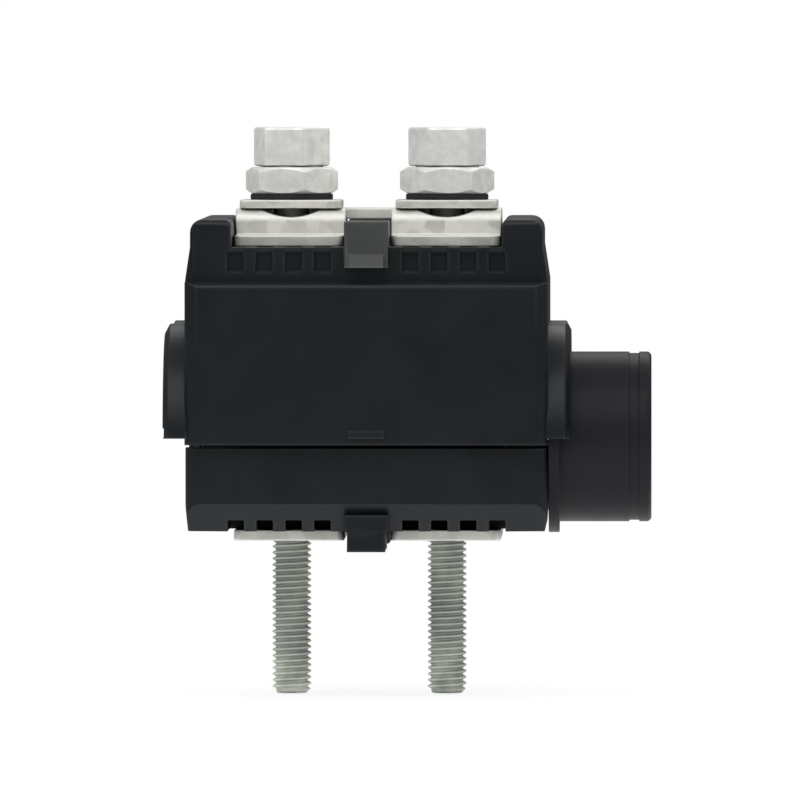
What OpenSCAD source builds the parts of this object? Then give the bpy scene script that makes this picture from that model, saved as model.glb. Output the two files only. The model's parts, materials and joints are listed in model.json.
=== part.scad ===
// Two-bolt insulation piercing connector, with a cap on the end of the tap cable.
// Millimetres. The origin is on the main conductor's axis, half way along the housing.
// +X runs along the conductors, +Z up to the bolt heads, and the tap conductor lies at -Y.

/* [Conductors] */
// Diameter of the main channel, over the conductor's insulation
main_d = 25; // [22:0.5:26]
// Diameter of the tap channel, over the conductor's insulation
tap_d = 20; // [16:0.5:23]
// Distance from the plane of the bolts to each conductor's axis
axis_offset = 20.5; // [20.5:0.5:24]

/* [Housings] */
// Length of the upper housing along the conductors
body_l = 74; // [72:1:84]
// Distance from a conductor's axis to the face of the block next to it
axis_to_face = 21.5; // [19:0.5:26]
// Gap between the inner faces of the two housings
parting_gap = 4; // [3:0.5:6]
// Height of the upper plate's seat above the conductors' axes
seat_h = 39; // [36:0.5:46]
// Height of the ears above the plate's seat
ear_h = 5.7; // [4.5:0.1:8]
// Radius of the ears' outer edges
ear_r = 2.7; // [1.5:0.1:3.5]
// How far the block's ends lean in between the aprons and the seat
end_draft = 1.1; // [0.5:0.1:1.5]
// Depth of the lower housing's underside below the conductors' axes
base_drop = 19; // [18:0.5:24]
// Height of the bevels along the lower housing's bottom edges
bevel_h = 5.6; // [3:0.2:7]
// Depth of these bevels, from the front and rear faces inwards
bevel_d = 4; // [2:0.2:5]
// How far the lower housing's ends lean in over the height of the bevels
bevel_draft = 0.5; // [0.4:0.1:1.5]
// Radius of the vertical corners
corner_r = 3; // [1.5:0.5:4]
// Radius along the top edges of the aprons, the block and the ears
top_r = 1.5; // [0.5:0.1:2]
// Clearance between the lower housing and the aprons
half_clear = 0.4; // [0.3:0.1:0.8]
// How far the lower housing's ends lie back from the upper's
end_clear = 0.1; // [0.1:0.05:0.8]

/* [Aprons] */
// Thickness of the front and rear aprons
apron_t = 3; // [2:0.5:5]
// Height of the aprons' top edges above the conductors' axes
apron_h = 31.8; // [26:0.1:33]
// How far the aprons hang below the conductors' axes
apron_drop = 1.3; // [0.2:0.1:1.5]
// Width of the nib at the middle of each apron's lower edge
nib_w = 7.5; // [5:0.5:10]
// Height of the nib
nib_h = 1.6; // [1:0.1:3]
// How far the nib stands out
nib_t = 0.6; // [0.3:0.1:1]

/* [Ribs] */
// Width of the slots between the ribs
slot_w = 3.4; // [2.4:0.1:4]
// Spacing of the slots
slot_pitch = 5.9; // [5:0.1:6.4]
// Number of slots at each bolt
slot_count = 4; // [2:1:4]
// How far the middle of the slots lies outside the bolt
slot_shift = 1.8; // [0:0.1:2]
// Depth of the recesses in the block's front and rear faces, in line with the slots
recess_d = 1; // [0.5:0.1:1.5]
// Height of these recesses
recess_h = 4.1; // [2:0.1:6]
// Distance from the plate's seat down to these recesses
recess_below = 0.9; // [0.5:0.1:1.2]
// Depth of the pockets between the ribs, inside the block's faces
rib_pocket_d = 16; // [8:0.5:18]
// Wall left in front of the pockets, at the block's faces
pocket_wall = 3; // [2:0.2:5]
// Depth of the slots over the lower plates
lower_slot_d = 2.3; // [1.5:0.1:3]
// Length of the slots, inwards from the block's front and rear faces
slot_l = 24; // [16:1:28]

/* [Moulding cores] */
// Wall left round the cores in the housings' inner faces
core_wall = 2.5; // [2:0.1:3]
// Depth of the cores in the upper housing
upper_core_d = 14; // [6:0.5:16]
// Depth of the cores in the lower housing
lower_core_d = 9; // [4:0.5:10]
// Wall left round the bolt holes beside the middle core
boss_wall = 2.6; // [2:0.2:4]

/* [Centre tabs] */
// Clearance between the tabs and the plates beside them
tab_clear = 0.2; // [0.1:0.1:1]
// Length of the tabs, inwards from the front and rear faces
tab_l = 24; // [18:1:26]
// Gap between the upper tabs and the strip over them
tab_gap = 0.2; // [0.1:0.1:2]
// How far the upper tabs stand out of the block's face
tab_out = 1.2; // [0.6:0.1:2]
// How far the upper tabs reach down below the seat
tab_drop = 4.2; // [3:0.1:6]
// Height of the lip along each upper tab's lower end
tab_lip_h = 2.8; // [2:0.1:4]
// How far the lip's lower edge stands out of the tab
tab_lip_out = 1.6; // [0.8:0.1:2]
// How far each side of the lip lies in from the tab's
tab_lip_in = 0.9; // [0.5:0.1:1.5]
// Height of the boss at the head of each lower tab
foot_h = 3.4; // [2:0.1:5]
// How far the lower tabs reach below the lower housing
foot_drop = 4.1; // [3:0.1:6]
// How far each side of the lower tabs steps in below the housing
foot_step = 0.6; // [0.4:0.1:1]

/* [Cable hoods] */
// Outer radius of the hoods over the cable ports
hood_r = 23.1; // [22.5:0.1:25]
// How far the hoods stand out of the housing's ends
hood_l = 4.5; // [4:0.1:8]
// Chamfer round the hoods' outer edge, along the conductor
hood_chamfer_l = 1; // [0.5:0.1:1.5]
// Chamfer round the hoods' outer edge, across the conductor
hood_chamfer_r = 1.9; // [0.5:0.1:2.2]

/* [End cap] */
// Outer radius of the cap
cap_r = 17.4; // [14:0.1:18.5]
// Radius of the cap's flange
cap_flange_r = 19.6; // [19:0.1:20]
// Thickness of the cap's flange
cap_flange_t = 2.2; // [1.5:0.1:3]
// Length of the cap over its flange
cap_l = 21; // [16:0.1:30]
// Wall of the cap
cap_wall = 2.2; // [1.5:0.1:3]
// Thickness of the cap's closed end
cap_end_t = 2.6; // [2:0.1:4]
// Rounded edge of the closed end
cap_edge_r = 1; // [0.5:0.1:1.5]
// Distance of the grip groove from the closed end
cap_groove_in = 2.5; // [2.2:0.1:6]
// Width of the grip groove
cap_groove_w = 2; // [0.8:0.1:2.5]
// Depth of the grip groove
cap_groove_d = 0.3; // [0.2:0.1:0.8]
// Clearance between the cap and its hood
cap_clear = 0.3; // [0.2:0.1:0.6]
// Gap between the cap's flange and the housing's end
cap_gap = 0.1; // [0.1:0.05:0.3]

/* [Bolts and nuts] */
// Distance between the two bolts
bolt_spacing = 32; // [31:0.5:35]
// Diameter of the bolts' thread
bolt_d = 8; // [6:1:8]
// Length of the bolts under their heads
bolt_l = 102.8; // [98:0.2:120]
// Clearance round the bolts in the housings and plates
bolt_clear = 0.6; // [0.4:0.1:1]
// Width across the flats of the hexagon that stays
hex_af = 17; // [16:1:19]
// Height of the hexagon that stays
hex_h = 5.5; // [4.5:0.1:8]
// Width across the flats of the hexagon that shears off
shear_af = 14; // [13:1:15]
// Height of the hexagon that shears off
shear_h = 8; // [6:0.1:10]
// Diameter of the neck that shears
neck_d = 13; // [10:0.5:13]
// Height of the neck that shears
neck_h = 0.2; // [0.2:0.1:1]
// Angle by which the left bolt's head is turned
left_turn = -12; // [-30:1:30]
// Angle by which the right bolt's head is turned
right_turn = 2; // [-30:1:30]
// Chamfer at the tip of the bolts
tip_chamfer = 1; // [0.5:0.1:1.5]
// Width across the flats of the nuts
nut_af = 13; // [12:0.5:14]
// Height of the nuts
nut_h = 6.5; // [5.5:0.1:7]
// Play between the nut's thread and the bolt's
thread_clear = 0.15; // [0.1:0.05:0.3]
// Clearance between a nut and its cup
nut_clear = 0.2; // [0.1:0.05:0.4]

/* [Plates and washers] */
// Thickness of the plates' sheet
sheet_t = 2.2; // [1.6:0.1:2.4]
// Width of the plates at each bolt
plate_w = 22.6; // [20:0.2:22.6]
// Length of the plates, front to back
plate_l = 56; // [50:1:64]
// Height of the upper plate's crown above its seat
crown_h = 7.6; // [7.3:0.1:10]
// Length of the upper plate's crown, front to back
crown_l = 22; // [21:1:36]
// Outer radius of the folds of the upper plate
fold_r = 3; // [2.8:0.1:4]
// How far the strip between the crowns is cut back, front and rear
strip_cut = 4; // [2:0.5:6]
// Width of the dish under each washer
dish_w = 13; // [11:0.2:16]
// Depth of the dish
dish_d = 1.8; // [1:0.1:2]
// Length of the dish, inwards from the crown's front and rear edges
dish_l = 8; // [3:0.5:9]
// Radius of the plates' and square washers' corners
plate_r = 1.5; // [0.5:0.1:3]
// Clearance between the plates and the ears beside them
plate_clear = 0.3; // [0.2:0.1:0.8]
// Clearance round the nut cups in the lower housing
cup_clear = 0.3; // [0.2:0.1:0.5]
// Side of the square washers
square_w = 21; // [18:0.2:22]
// Thickness of the square washers
square_t = 1.7; // [1.2:0.1:2.5]
// Diameter of the round washers
round_d = 17; // [15:0.2:17]
// Thickness of the round washers
round_t = 1.2; // [0.8:0.1:2]

/* [Contact blades] */
// Thickness of the blades
blade_t = 3; // [2:0.1:3]
// Distance of the blades' middle from the upper housing's ends
blade_inset = 5.5; // [5:0.1:5.8]
// Plastic left behind each blade in the lower housing
blade_floor = 1.5; // [1:0.1:2]
// Height of the teeth
tooth_h = 1.8; // [1.2:0.1:2]
// Spacing of the teeth round the channels
tooth_pitch = 2.6; // [2:0.1:3.2]
// Angle of the toothed arc, each side of its middle
tooth_reach = 50; // [35:1:52]
// How far the tips of the teeth lie back from the channels' surface
tip_back = 0.2; // [0.1:0.1:0.4]
// Clearance between a blade and its slots
blade_clear = 0.15; // [0.1:0.05:0.2]

/* [Blade gaskets] */
// Width of the gaskets along the conductors
gasket_w = 6.4; // [5:0.1:6.4]
// Thickness of the gaskets
gasket_t = 2.4; // [1.8:0.1:2.6]
// How far the gaskets' faces lie back from the channels' surface
gasket_back = 0.4; // [0.3:0.1:0.6]
// How far the gaskets' ends lie below the housings' inner faces
gasket_down = 1.2; // [0.6:0.1:2]
// Clearance between a gasket and its recess
gasket_clear = 0.15; // [0.1:0.05:0.3]

/* [Hidden] */

$fn = 64;
// How far a cutting shape runs past the surface that it cuts
past = 1;
LEFT = -1;
RIGHT = 1;

body_x = body_l / 2;
block_y = axis_offset + axis_to_face;
apron_y = block_y + apron_t;
parting_z = parting_gap / 2;
ear_z = seat_h + ear_h;
bolt_x = bolt_spacing / 2;
bolt_hole_r = bolt_d / 2 + bolt_clear;
ear_x = bolt_x + plate_w / 2 + plate_clear;
main_r = main_d / 2;
tap_r = tap_d / 2;
blade_x = body_x - blade_inset;
blade_back = base_drop - blade_floor;
gasket_top = parting_z + gasket_down;
crown_top = seat_h + crown_h;
square_z = crown_top;
round_z = square_z + square_t;
head_z = round_z + round_t;
dish_r = (pow(dish_w / 2, 2) + pow(dish_d, 2)) / (2 * dish_d);
groove_l = cap_gap + cap_flange_t + cap_clear;
tab_w = bolt_spacing - plate_w - 2 * tab_clear;
tab_h = crown_h - sheet_t - tab_gap;
cup_af = nut_af + 2 * nut_clear;
cup_h = nut_h + sheet_t;

PLASTIC = [0.13, 0.15, 0.17];
RUBBER = [0.10, 0.10, 0.11];
ZINC = [0.78, 0.78, 0.76];
TINNED = [0.83, 0.80, 0.74];

// Radius of a hexagon's corners, from its width across the flats
function corner_of(across_flats) = across_flats / 2 / cos(30);

// Direction of a 2D vector
function unit(v) = v / norm(v);

// Points of the arc of radius r that rounds the corner b between the edges to a and to c
function rounded(a, b, c, r, steps = 6) =
    let (
        u = unit(a - b),
        w = unit(c - b),
        half = acos(u * w) / 2,
        middle = b + unit(u + w) * r / sin(half),
        first = b + u * r / tan(half) - middle,
        last = b + w * r / tan(half) - middle,
        start = atan2(first.y, first.x),
        turn = (atan2(last.y, last.x) - start + 540) % 360 - 180
    )
    [
        for (i = [0 : steps])
            let (angle = start + turn * i / steps)
            middle + r * [cos(angle), sin(angle)]
    ];

// Move from the main conductor's axis to the plane of the bolts
module at_bolts() {
    translate([0, -axis_offset, 0]) children();
}

module both_ends() {
    children();
    mirror([1, 0, 0]) children();
}

module front_and_rear() {
    children();
    mirror([0, 1, 0]) children();
}

// Extrude a profile drawn in Y and Z along the conductors
module along_x(length) {
    rotate([90, 0, 90]) linear_extrude(length, center = true) children();
}

// Extrude a profile drawn in X and Z from front to back
module along_y(length) {
    rotate([90, 0, 0]) linear_extrude(length, center = true) children();
}

module rounded_rect(w, h, r) {
    square([w - 2 * r, h], center = true);
    square([w, h - 2 * r], center = true);
    for (x = [-1, 1], y = [-1, 1])
        translate([x * (w / 2 - r), y * (h / 2 - r)]) circle(r);
}

// A block with round vertical corners, from z0 to z1
module corner_block(l, d, r, z0, z1) {
    translate([0, 0, z0]) linear_extrude(z1 - z0) rounded_rect(l, d, r);
}

// A long bar whose upper edges, at z_top, are round
module round_topped(l, d, r, z_top) {
    translate([0, 0, z_top - d / 2]) along_x(l) rounded_rect(d, d, r);
}

module hexagon(across_flats, h) {
    cylinder(r = corner_of(across_flats), h = h, $fn = 6);
}

// A hexagon whose corners are turned off at the top, and at the bottom too if asked
module turned_hexagon(across_flats, h, both = false) {
    flat_r = across_flats / 2;
    tip_r = corner_of(across_flats);
    fall = (tip_r - flat_r) * tan(30);
    intersection() {
        hexagon(across_flats, h);
        rotate_extrude()
            polygon([
                [0, 0], [both ? flat_r : tip_r + past, 0],
                if (both) [tip_r, fall],
                [tip_r, h - fall], [flat_r, h], [0, h]
            ]);
    }
}

// Both cable channels, cut through the housings
module channels() {
    for (place = [[axis_offset, main_r], [-axis_offset, tap_r]])
        translate([0, place[0], 0]) rotate([0, 90, 0])
            cylinder(r = place[1], h = body_l + 2 * past, center = true);
}

module bolt_holes(z0, z1) {
    both_ends() translate([bolt_x, 0, z0]) cylinder(r = bolt_hole_r, h = z1 - z0);
}

// Slots between the ribs, from z0 to z1, which start and end so far inside the block's faces
module rib_slots(z0, z1, start, end) {
    first_x = bolt_x + slot_shift - (slot_count - 1) / 2 * slot_pitch;
    both_ends() front_and_rear()
        for (i = [0 : slot_count - 1])
            translate([first_x + i * slot_pitch - slot_w / 2, start - block_y, z0])
                cube([slot_w, end - start, z1 - z0]);
}

// Cores in a housing's inner face: one behind each outer face and one between the bolts
module moulding_cores(depth) {
    side_x = blade_x - gasket_w / 2 - core_wall;
    middle_x = bolt_x - bolt_hole_r - boss_wall;
    tap_near = axis_offset - tap_r - core_wall;
    main_near = axis_offset - main_r - core_wall;
    tap_far = axis_offset + tap_r + core_wall;
    main_far = axis_offset + main_r + core_wall;
    outer = block_y - pocket_wall;
    translate([-side_x, -outer, 0]) cube([2 * side_x, outer - tap_far, parting_z + depth]);
    translate([-side_x, main_far, 0]) cube([2 * side_x, outer - main_far, parting_z + depth]);
    translate([-middle_x, -tap_near, 0]) cube([2 * middle_x, tap_near + main_near, parting_z + depth]);
}

// Outline of the block above the aprons, seen from the front, with the seat between its ears
module block_outline() {
    seat_corner = [ear_x, seat_h];
    shoulder = [body_x - end_draft, seat_h];
    right = concat(
        [[body_x, parting_z], [body_x, apron_h], shoulder],
        rounded(shoulder, [shoulder.x, ear_z], [ear_x, ear_z], ear_r),
        rounded([shoulder.x, ear_z], [ear_x, ear_z], seat_corner, top_r),
        [seat_corner]
    );
    left = [for (i = [len(right) - 1 : -1 : 0]) [-right[i].x, right[i].y]];
    polygon(concat(right, left));
}

// One pair of half-round hoods on the right end, with the groove that takes the cap's flange
module hood_pair() {
    outer = [
        [0, -past], [hood_r, -past], [hood_r, hood_l - hood_chamfer_l],
        [hood_r - hood_chamfer_r, hood_l], [0, hood_l]
    ];
    groove_r = cap_flange_r + cap_clear;
    lip_r = cap_r + cap_clear;
    translate([body_x, 0, 0])
        difference() {
            for (y = [axis_offset, -axis_offset])
                translate([0, y, 0]) rotate([0, 90, 0]) rotate_extrude() polygon(outer);
            for (y = [axis_offset, -axis_offset])
                translate([0, y, 0]) rotate([0, 90, 0]) {
                    cylinder(r = groove_r, h = groove_l);
                    cylinder(r = lip_r, h = hood_l + past);
                }
            translate([-2 * past, -2 * block_y, -2 * hood_r])
                cube([hood_l + 4 * past, 4 * block_y, 2 * hood_r]);
        }
}

// Tab between the plates at the front, with a sloping lip at its lower end
module upper_tab() {
    z0 = seat_h - tab_drop;
    face = -block_y - tab_out;
    translate([-tab_w / 2, face, z0]) cube([tab_w, tab_l + tab_out, tab_h + tab_drop]);
    along_x(tab_w - 2 * tab_lip_in)
        polygon([
            [face - tab_lip_out, z0], [face + tab_out / 2, z0],
            [face + tab_out / 2, z0 + tab_lip_h], [face, z0 + tab_lip_h]
        ]);
}

module lower_tab() {
    face = block_y - half_clear;
    translate([-tab_w / 2, -face, -base_drop]) cube([tab_w, tab_l, foot_h]);
    translate([-tab_w / 2 + foot_step, -face, -base_drop - foot_drop])
        cube([tab_w - 2 * foot_step, tab_l, foot_drop + past]);
}

// Profile of a lower gasket in Y and Z, grown by extra to make its recess
module gasket_profile(extra = 0) {
    difference() {
        union() {
            translate([axis_offset, 0]) circle(main_r + gasket_t + extra);
            translate([-axis_offset, 0]) circle(tap_r + gasket_t + extra);
            translate([-axis_offset, -gasket_top - gasket_t - extra])
                square([2 * axis_offset, gasket_t + extra]);
        }
        translate([-2 * block_y, -gasket_top]) square(4 * block_y);
    }
}

// Round openings of the channels, grown by extra
module channel_circles(extra) {
    translate([axis_offset, 0]) circle(main_r + extra);
    translate([-axis_offset, 0]) circle(tap_r + extra);
}

// Radius at the roots of the teeth round a channel of radius r
function root_of(r) = r + tip_back + tooth_h;

// Outline of a lower blade without its teeth, grown by extra to make its slot
module blade_blank(extra = 0) {
    front = axis_offset + root_of(tap_r) * sin(tooth_reach) + extra;
    rear = axis_offset + root_of(main_r) * sin(tooth_reach) + extra;
    translate([-front, -blade_back]) square([front + rear, blade_back - gasket_top - gasket_t / 2]);
}

// Opening of a blade round a channel of radius r: a row of teeth below, straight sides above
module toothed_opening(r) {
    root_r = root_of(r);
    tip_r = r + tip_back;
    count = floor(2 * tooth_reach * PI / 180 * root_r / tooth_pitch);
    step = tooth_reach / count;
    side = root_r * sin(tooth_reach);
    row = [
        for (i = [0 : 2 * count])
            let (angle = -tooth_reach + i * step)
            (i % 2 == 0 ? root_r : tip_r) * [sin(angle), -cos(angle)]
    ];
    polygon(concat(row, [[side, 0], [-side, 0]]));
}

module blade_profile() {
    difference() {
        blade_blank();
        translate([axis_offset, 0]) toothed_opening(main_r);
        translate([-axis_offset, 0]) toothed_opening(tap_r);
        channel_circles(tip_back / 2);
    }
}

// Recesses of the lower housing for its blades and gaskets
module blade_recesses() {
    both_ends() translate([blade_x, 0, 0]) {
        along_x(blade_t + 2 * blade_clear) blade_blank(blade_clear);
        along_x(gasket_w + 2 * gasket_clear)
            union() {
                gasket_profile(gasket_clear);
                translate([-axis_offset, -gasket_top - past]) square([2 * axis_offset, gasket_top + past]);
            }
    }
}

module upper_shell() {
    intersection() {
        corner_block(body_l, 2 * apron_y, corner_r, -apron_drop, apron_h);
        round_topped(body_l + past, 2 * apron_y, top_r, apron_h);
    }
    intersection() {
        along_y(2 * block_y) block_outline();
        corner_block(body_l, 2 * block_y, corner_r, 0, ear_z + past);
        round_topped(body_l + past, 2 * block_y, top_r, ear_z);
    }
    both_ends() hood_pair();
    front_and_rear() {
        upper_tab();
        translate([-nib_w / 2, -apron_y - nib_t, 0]) cube([nib_w, nib_t + past, nib_h]);
    }
}

module upper_housing() {
    color(PLASTIC) at_bolts()
        difference() {
            upper_shell();
            translate([-body_l, -block_y, -apron_drop - past])
                cube([2 * body_l, 2 * block_y, apron_drop + past + parting_z]);
            channels();
            bolt_holes(0, ear_z);
            rib_slots(seat_h - recess_below - recess_h, seat_h - recess_below, -past, recess_d);
            rib_slots(seat_h - rib_pocket_d, seat_h, pocket_wall, slot_l);
            moulding_cores(upper_core_d);
            mirror([0, 0, 1]) blade_recesses();
        }
}

// Outline of the lower housing, so wide, which runs in by so much over the height of its bevels
module bevelled_outline(width, run_in) {
    half = width / 2;
    polygon([
        [-half, 0], [half, 0], [half, bevel_h - base_drop], [half - run_in, -base_drop],
        [run_in - half, -base_drop], [-half, bevel_h - base_drop]
    ]);
}

module lower_shell() {
    length = body_l - 2 * end_clear;
    depth = 2 * (block_y - half_clear);
    intersection() {
        corner_block(length, depth, corner_r, -base_drop, -parting_z);
        along_x(length + past) bevelled_outline(depth, bevel_d);
        along_y(depth + past) bevelled_outline(length, bevel_draft);
    }
    front_and_rear() lower_tab();
}

module lower_housing() {
    color(PLASTIC) at_bolts()
        difference() {
            lower_shell();
            channels();
            bolt_holes(-base_drop - past, 0);
            rib_slots(-base_drop - past, -base_drop + lower_slot_d, -past, slot_l);
            mirror([0, 0, 1]) moulding_cores(lower_core_d);
            both_ends() translate([bolt_x, 0, -base_drop - past])
                rotate(30) hexagon(cup_af + 2 * sheet_t + 2 * cup_clear, cup_h - sheet_t + cup_clear + past);
            blade_recesses();
        }
}

// Side view of the upper plate: a crown on two walls, with a flange at the foot of each
module hat_profile() {
    inside_l = crown_l - 2 * sheet_t;
    difference() {
        translate([0, crown_top - crown_l / 2]) rounded_rect(crown_l, crown_l, fold_r);
        translate([0, crown_top - sheet_t - inside_l / 2]) rounded_rect(inside_l, inside_l, fold_r - sheet_t);
        translate([-crown_l, seat_h - crown_l]) square([2 * crown_l, crown_l]);
    }
    both_ends() translate([inside_l / 2, seat_h]) square([(plate_l - inside_l) / 2, sheet_t]);
}

// Circle of the dishes under a washer, seen from the front
module dish_circle(extra = 0) {
    translate([0, crown_top - dish_d + dish_r]) circle(dish_r + extra);
}

// Sheet that hangs below the crown where it is dished
module dish_back() {
    intersection() {
        dish_circle(sheet_t);
        translate([-plate_w / 2, crown_top - sheet_t - dish_d]) square([plate_w, dish_d + sheet_t / 2]);
    }
}

module pressure_plate() {
    strip_w = 2 * bolt_x - plate_w;
    color(ZINC) at_bolts()
        difference() {
            union() {
                both_ends() translate([bolt_x, 0, 0]) {
                    intersection() {
                        along_x(plate_w) hat_profile();
                        corner_block(plate_w, plate_l, plate_r, seat_h - past, crown_top + past);
                    }
                    along_y(crown_l - sheet_t) dish_back();
                }
                translate([0, 0, crown_top - sheet_t / 2])
                    cube([strip_w + 2 * past, crown_l - 2 * strip_cut, sheet_t], center = true);
            }
            both_ends() front_and_rear() translate([bolt_x, (dish_l - crown_l - past) / 2, 0])
                along_y(dish_l + past) dish_circle();
            bolt_holes(seat_h, crown_top + past);
        }
}

module square_washer(side) {
    color(ZINC) at_bolts() translate([side * bolt_x, 0, square_z])
        linear_extrude(square_t)
            difference() {
                rounded_rect(square_w, square_w, plate_r);
                circle(bolt_hole_r);
            }
}

module round_washer(side) {
    color(RUBBER) at_bolts() translate([side * bolt_x, 0, round_z])
        linear_extrude(round_t)
            difference() {
                circle(d = round_d);
                circle(bolt_hole_r);
            }
}

module shear_bolt(side) {
    r = bolt_d / 2;
    turn = side == LEFT ? left_turn : right_turn;
    color(ZINC) at_bolts() translate([side * bolt_x, 0, head_z]) rotate(turn) {
        rotate_extrude()
            polygon([
                [0, -bolt_l], [r - tip_chamfer, -bolt_l], [r, -bolt_l + tip_chamfer],
                [r, past], [0, past]
            ]);
        turned_hexagon(hex_af, hex_h, both = true);
        translate([0, 0, hex_h - past]) cylinder(d = neck_d, h = neck_h + 2 * past);
        translate([0, 0, hex_h + neck_h]) hexagon(shear_af, shear_h);
    }
}

module nut(side) {
    color(ZINC) at_bolts() translate([side * bolt_x, 0, -base_drop - sheet_t])
        difference() {
            rotate(30) turned_hexagon(nut_af, nut_h);
            translate([0, 0, -past]) cylinder(r = bolt_d / 2 + thread_clear, h = nut_h + 2 * past);
        }
}

// Lower plate with a drawn hexagonal cup, open below, which keeps the nut from turning
module lower_plate(side) {
    color(ZINC) at_bolts() translate([side * bolt_x, 0, -base_drop - sheet_t])
        difference() {
            union() {
                linear_extrude(sheet_t) rounded_rect(plate_w, plate_l, plate_r);
                rotate(30) hexagon(cup_af + 2 * sheet_t, cup_h);
            }
            translate([0, 0, -past]) rotate(30) hexagon(cup_af, nut_h + past);
            cylinder(r = bolt_hole_r, h = cup_h + past);
        }
}

module lower_blade(side) {
    color(TINNED) at_bolts() translate([side * blade_x, 0, 0]) along_x(blade_t) blade_profile();
}

module upper_blade(side) {
    mirror([0, 0, 1]) lower_blade(side);
}

module lower_gasket(side) {
    color(RUBBER) at_bolts() translate([side * blade_x, 0, 0])
        difference() {
            along_x(gasket_w)
                difference() {
                    gasket_profile();
                    channel_circles(gasket_back);
                }
            along_x(blade_t + 2 * blade_clear) blade_blank(blade_clear);
        }
}

module upper_gasket(side) {
    mirror([0, 0, 1]) lower_gasket(side);
}

// Cap turned about the tap conductor's axis, open towards the channel
module end_cap() {
    bore_r = cap_r - cap_wall;
    groove_at = cap_l - cap_groove_in;
    color(RUBBER) at_bolts() translate([body_x + cap_gap, -axis_offset, 0]) rotate([0, 90, 0])
        rotate_extrude()
            difference() {
                union() {
                    square([cap_flange_r, cap_flange_t]);
                    square([cap_r, cap_l - cap_edge_r]);
                    square([cap_r - cap_edge_r, cap_l]);
                    translate([cap_r - cap_edge_r, cap_l - cap_edge_r]) circle(cap_edge_r);
                }
                translate([-past, -past]) square([bore_r + past, cap_l - cap_end_t + past]);
                translate([cap_r - cap_groove_d, groove_at - cap_groove_w]) square([past, cap_groove_w]);
            }
}

upper_housing();
lower_housing();
pressure_plate();
square_washer(LEFT);  // square_washer_left
square_washer(RIGHT);  // square_washer_right
round_washer(LEFT);  // round_washer_left
round_washer(RIGHT);  // round_washer_right
shear_bolt(LEFT);  // shear_bolt_left
shear_bolt(RIGHT);  // shear_bolt_right
nut(LEFT);  // nut_left
nut(RIGHT);  // nut_right
lower_plate(LEFT);  // lower_plate_left
lower_plate(RIGHT);  // lower_plate_right
upper_blade(LEFT);  // upper_blade_left
upper_blade(RIGHT);  // upper_blade_right
lower_blade(LEFT);  // lower_blade_left
lower_blade(RIGHT);  // lower_blade_right
upper_gasket(LEFT);  // upper_gasket_left
upper_gasket(RIGHT);  // upper_gasket_right
lower_gasket(LEFT);  // lower_gasket_left
lower_gasket(RIGHT);  // lower_gasket_right
end_cap();
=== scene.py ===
import json
import math

import bmesh
import bpy
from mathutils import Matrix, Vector

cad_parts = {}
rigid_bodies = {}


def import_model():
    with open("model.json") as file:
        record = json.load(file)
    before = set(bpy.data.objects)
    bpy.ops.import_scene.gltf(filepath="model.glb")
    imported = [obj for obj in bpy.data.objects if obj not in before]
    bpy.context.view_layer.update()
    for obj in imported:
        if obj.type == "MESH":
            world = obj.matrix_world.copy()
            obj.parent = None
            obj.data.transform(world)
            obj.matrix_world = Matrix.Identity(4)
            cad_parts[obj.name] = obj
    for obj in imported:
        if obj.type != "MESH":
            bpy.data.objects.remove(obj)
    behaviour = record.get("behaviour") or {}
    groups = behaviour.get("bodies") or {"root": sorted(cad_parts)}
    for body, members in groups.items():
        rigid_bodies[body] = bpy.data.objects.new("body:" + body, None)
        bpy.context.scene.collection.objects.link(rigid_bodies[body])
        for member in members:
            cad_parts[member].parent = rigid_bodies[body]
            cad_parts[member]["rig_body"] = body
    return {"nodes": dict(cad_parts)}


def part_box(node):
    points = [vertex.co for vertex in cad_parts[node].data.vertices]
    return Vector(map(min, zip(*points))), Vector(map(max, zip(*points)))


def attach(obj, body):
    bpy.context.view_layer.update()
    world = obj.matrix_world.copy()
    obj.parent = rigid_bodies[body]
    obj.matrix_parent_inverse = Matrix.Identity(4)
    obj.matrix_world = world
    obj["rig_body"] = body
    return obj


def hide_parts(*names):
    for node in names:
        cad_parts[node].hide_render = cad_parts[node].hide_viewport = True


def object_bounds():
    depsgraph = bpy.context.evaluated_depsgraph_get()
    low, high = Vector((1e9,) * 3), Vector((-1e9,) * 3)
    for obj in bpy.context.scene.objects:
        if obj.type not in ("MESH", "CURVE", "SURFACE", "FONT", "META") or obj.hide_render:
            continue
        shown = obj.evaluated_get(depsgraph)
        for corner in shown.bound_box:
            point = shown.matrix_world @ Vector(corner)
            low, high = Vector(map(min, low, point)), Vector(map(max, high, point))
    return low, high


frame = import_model()
cad_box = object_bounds()

bl_info = {
    "name": "Insulation piercing connector",
    "version": (1, 0, 0),
    "blender": (4, 5, 0),
    "location": "3D View > Sidebar > Connector",
    "description": "Finishes the pieces of a two-bolt cable connector and sets its studio stage",
    "category": "Object",
}

# Lengths in the script are metres, and MM turns millimetres into them
MM = 0.001
SIDES = ("left", "right")
HALVES = ("upper", "lower")
# Directions along the conductors and across them
ALONG = Vector((1, 0, 0))
ACROSS = Vector((0, 1, 0))

# Vertices closer than this are one, and faces closer in angle than this are one flat
WELD = 0.001 * MM
FLAT = math.radians(0.6)
# Edges sharper than this are rounded, and softer ones belong to a curve
SHARP = math.radians(28)
# After rounding, only folds sharper than this still show as an edge
CREASE = math.radians(50)
# An edge is upright where more than this share of its length is height
UPRIGHT = 0.9

# A hexagon's ends are turned to this share of its width across the flats, and slope from there to its corners
TURNED_SHARE = 0.475
TURNED_SLOPE = math.tan(math.radians(30))

# Share of a zinc surface that shines as bare metal, where a thin white skin dulls the rest
BARE_ZINC = 0.5
# Rays that find whether a point is near an edge or in a corner
NEARBY_RAYS = 8
# Height above the bolts' tips over which the threads go from light zinc to their painted shade near the
# housing
SHADE_FADE_HEIGHT = 14 * MM
# Place of the thread's finish among a bolt's materials, after the heads'
THREAD_FINISH = 1

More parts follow.
